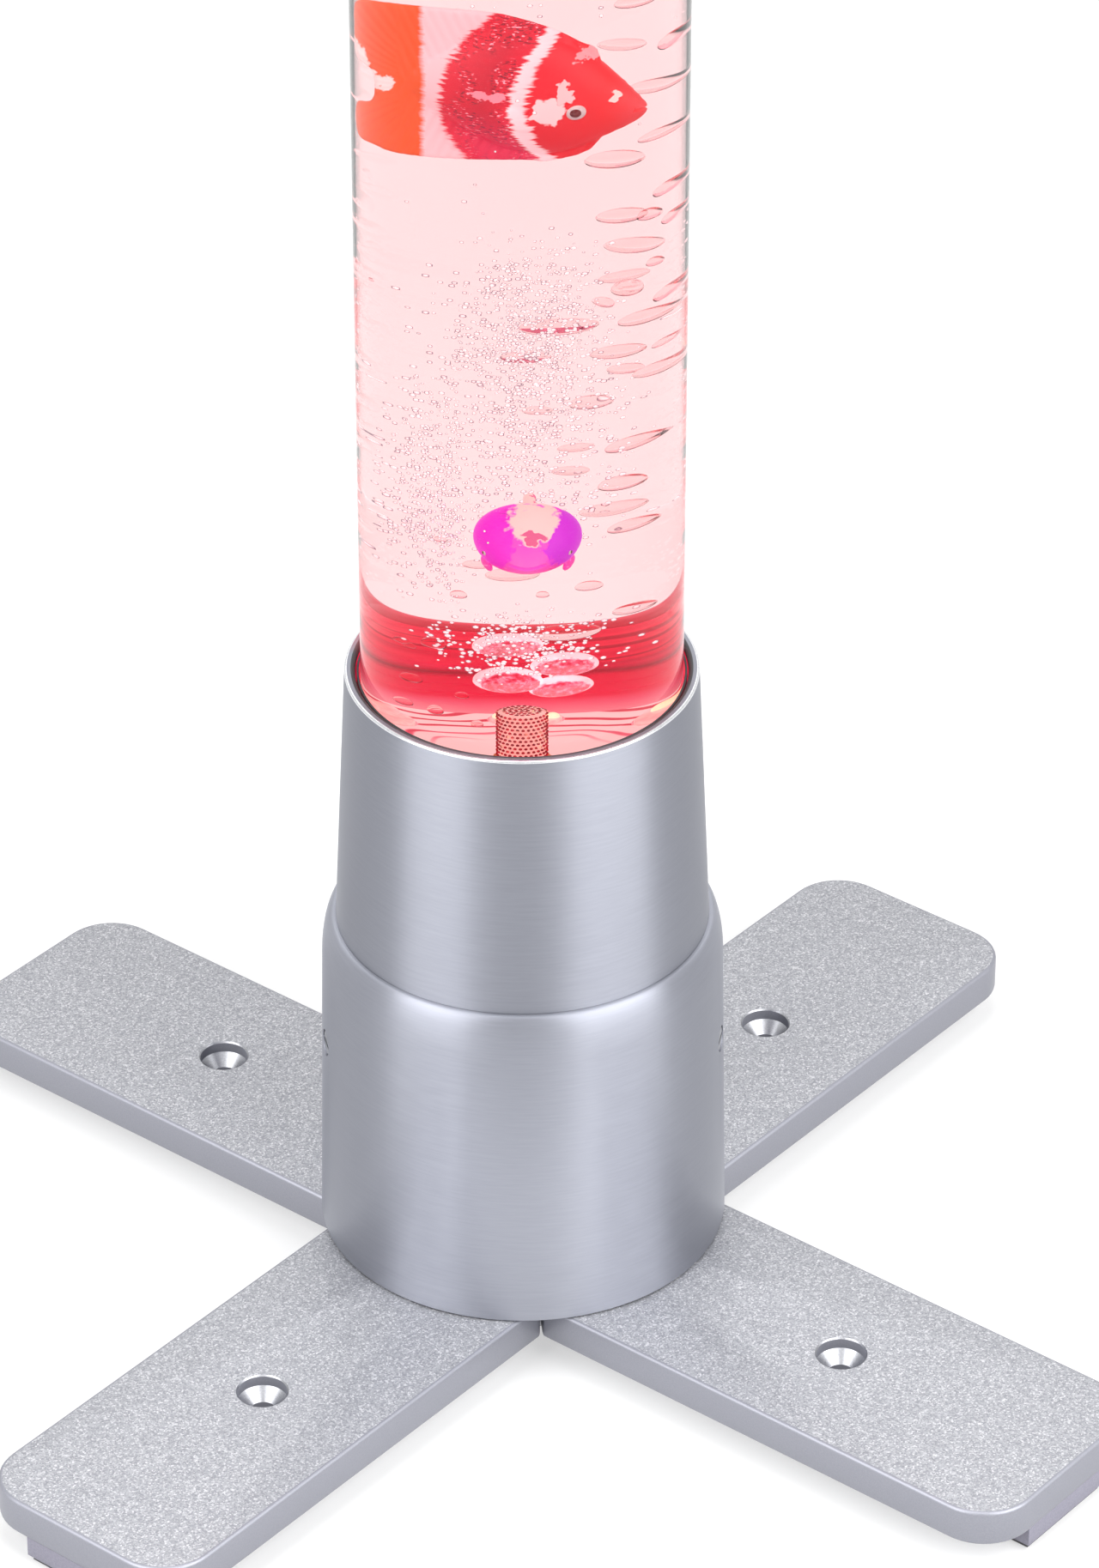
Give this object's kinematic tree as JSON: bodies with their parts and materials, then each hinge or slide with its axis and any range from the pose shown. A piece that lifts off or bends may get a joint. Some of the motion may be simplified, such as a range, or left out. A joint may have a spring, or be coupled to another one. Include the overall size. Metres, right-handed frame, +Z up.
{
  "type": "led floor lamp",
  "caption": "Floor lamp with a tall clear water tube, plastic fish and rising air bubbles, on a tapered silver base carried by a cross of flat legs.",
  "frame": {"origin": "on the floor, under the axis of the tube", "axes": "+Z up along the tube, -Y the front, +X the right as seen from the front; the legs point along the diagonals of X and Y"},
  "size_m": [0.2806, 0.2806, 1.164],
  "materials": {
    "leg_paint": "sparkling textured silver on top, smooth satin on the edges",
    "base_silver": "satin silver",
    "foot_plastic": "matte lilac grey",
    "foot_rubber": "matte dark rubber",
    "screw_steel": "plain zinc-plated",
    "plate_steel": "plain pressed steel",
    "chassis_plastic": "moulded grey",
    "seal_rubber": "dark grey rubber",
    "clear_acrylic": "clear polished acrylic",
    "red_acrylic": "clear red acrylic, polished",
    "lens_plastic": "clear moulded lens, lit warm white",
    "board_green": "green circuit board",
    "nipple_brass": "turned",
    "stone_ceramic": "porous sintered grain, lit red",
    "black_plastic": "moulded black",
    "white_plastic": "moulded white",
    "core_steel": "laminated electrical steel",
    "magnet": "dark ferrite",
    "coil_copper": "enamelled copper wire",
    "hose_silicone": "translucent silicone",
    "wire_jacket": "smooth insulation",
    "fish_clown_paint": "orange tail, crimson body, white bands",
    "fish_purple_paint": "magenta with a pale face",
    "fish_yellow_paint": "yellow",
    "fish_blue_paint": "blue",
    "fish_orange_paint": "orange"
  },
  "bodies": {
    "lamp": {"air_hose_lower": "hose_silicone", "air_hose_upper": "hose_silicone", "air_nipple": "nipple_brass", "air_stone": "stone_ceramic", "arm_pivot_pin": "screw_steel", "base_chassis": "chassis_plastic", "base_housing": "base_silver", "check_valve": "white_plastic", "control_board": "board_green", "foot_block_back_left": "foot_plastic", "foot_block_back_right": "foot_plastic", "foot_block_front_left": "foot_plastic", "foot_block_front_right": "foot_plastic", "foot_pad_back_left": "foot_rubber", "foot_pad_back_right": "foot_rubber", "foot_pad_front_left": "foot_rubber", "foot_pad_front_right": "foot_rubber", "hub_plate": "plate_steel", "leg_back_left": "leg_paint", "leg_back_right": "leg_paint", "leg_bolt_back_left": "screw_steel", "leg_bolt_back_right": "screw_steel", "leg_bolt_front_left": "screw_steel", "leg_bolt_front_right": "screw_steel", "leg_front_left": "leg_paint", "leg_front_right": "leg_paint", "lens_ring": "lens_plastic", "light_board": "board_green", "light_wire": "wire_jacket", "mode_switch": "black_plastic", "power_inlet": "black_plastic", "pump_bellows": "seal_rubber", "pump_case": "black_plastic", "pump_coil": "coil_copper", "pump_core": "core_steel", "pump_mount_left": "seal_rubber", "pump_mount_right": "seal_rubber", "pump_valve_box": "black_plastic", "pump_wire": "wire_jacket", "side_screw_left": "screw_steel", "side_screw_right": "screw_steel", "tube_bulkhead": "red_acrylic", "tube_collar": "base_silver", "tube_gasket": "seal_rubber", "water_tube": "clear_acrylic"},
    "cap": {"cap_shell": "base_silver", "cap_seal": "seal_rubber"},
    "button": {"mode_button": "white_plastic"},
    "arm": {"pump_arm": "white_plastic", "arm_magnet": "magnet"},
    "clown": {"fish_clown": "fish_clown_paint"},
    "purple": {"fish_purple": "fish_purple_paint"},
    "yellow": {"fish_yellow": "fish_yellow_paint"},
    "blue": {"fish_blue": "fish_blue_paint"},
    "orange": {"fish_orange": "fish_orange_paint"}
  },
  "joints": [
    {"name": "cap_lift", "type": "slide", "parent": "lamp", "child": "cap", "axis": [0, 0, 1], "range_m": [0, 0.03]},
    {"name": "button_press", "type": "slide", "parent": "lamp", "child": "button", "axis": [0, -1, 0], "range_m": [0, 0.0015], "stiffness_N_per_m": 800},
    {"name": "arm_swing", "type": "hinge", "parent": "lamp", "child": "arm", "pos_m": [-0.0048, -0.013, 0.0471], "axis": [0, 0, 1], "range_deg": [-3, 3], "stiffness_Nm_per_rad": 0.05},
    {"name": "clown_swim", "type": "slide", "parent": "lamp", "child": "clown", "axis": [0, 0, 1], "range_m": [-0.06, 0.055]},
    {"name": "purple_swim", "type": "slide", "parent": "lamp", "child": "purple", "axis": [0, 0, 1], "range_m": [-0.036, 0.028]},
    {"name": "yellow_swim", "type": "slide", "parent": "lamp", "child": "yellow", "axis": [0, 0, 1], "range_m": [-0.055, 0.065]},
    {"name": "blue_swim", "type": "slide", "parent": "lamp", "child": "blue", "axis": [0, 0, 1], "range_m": [-0.09, 0.08]},
    {"name": "orange_swim", "type": "slide", "parent": "lamp", "child": "orange", "axis": [0, 0, 1], "range_m": [-0.09, 0.09]}
  ]
}
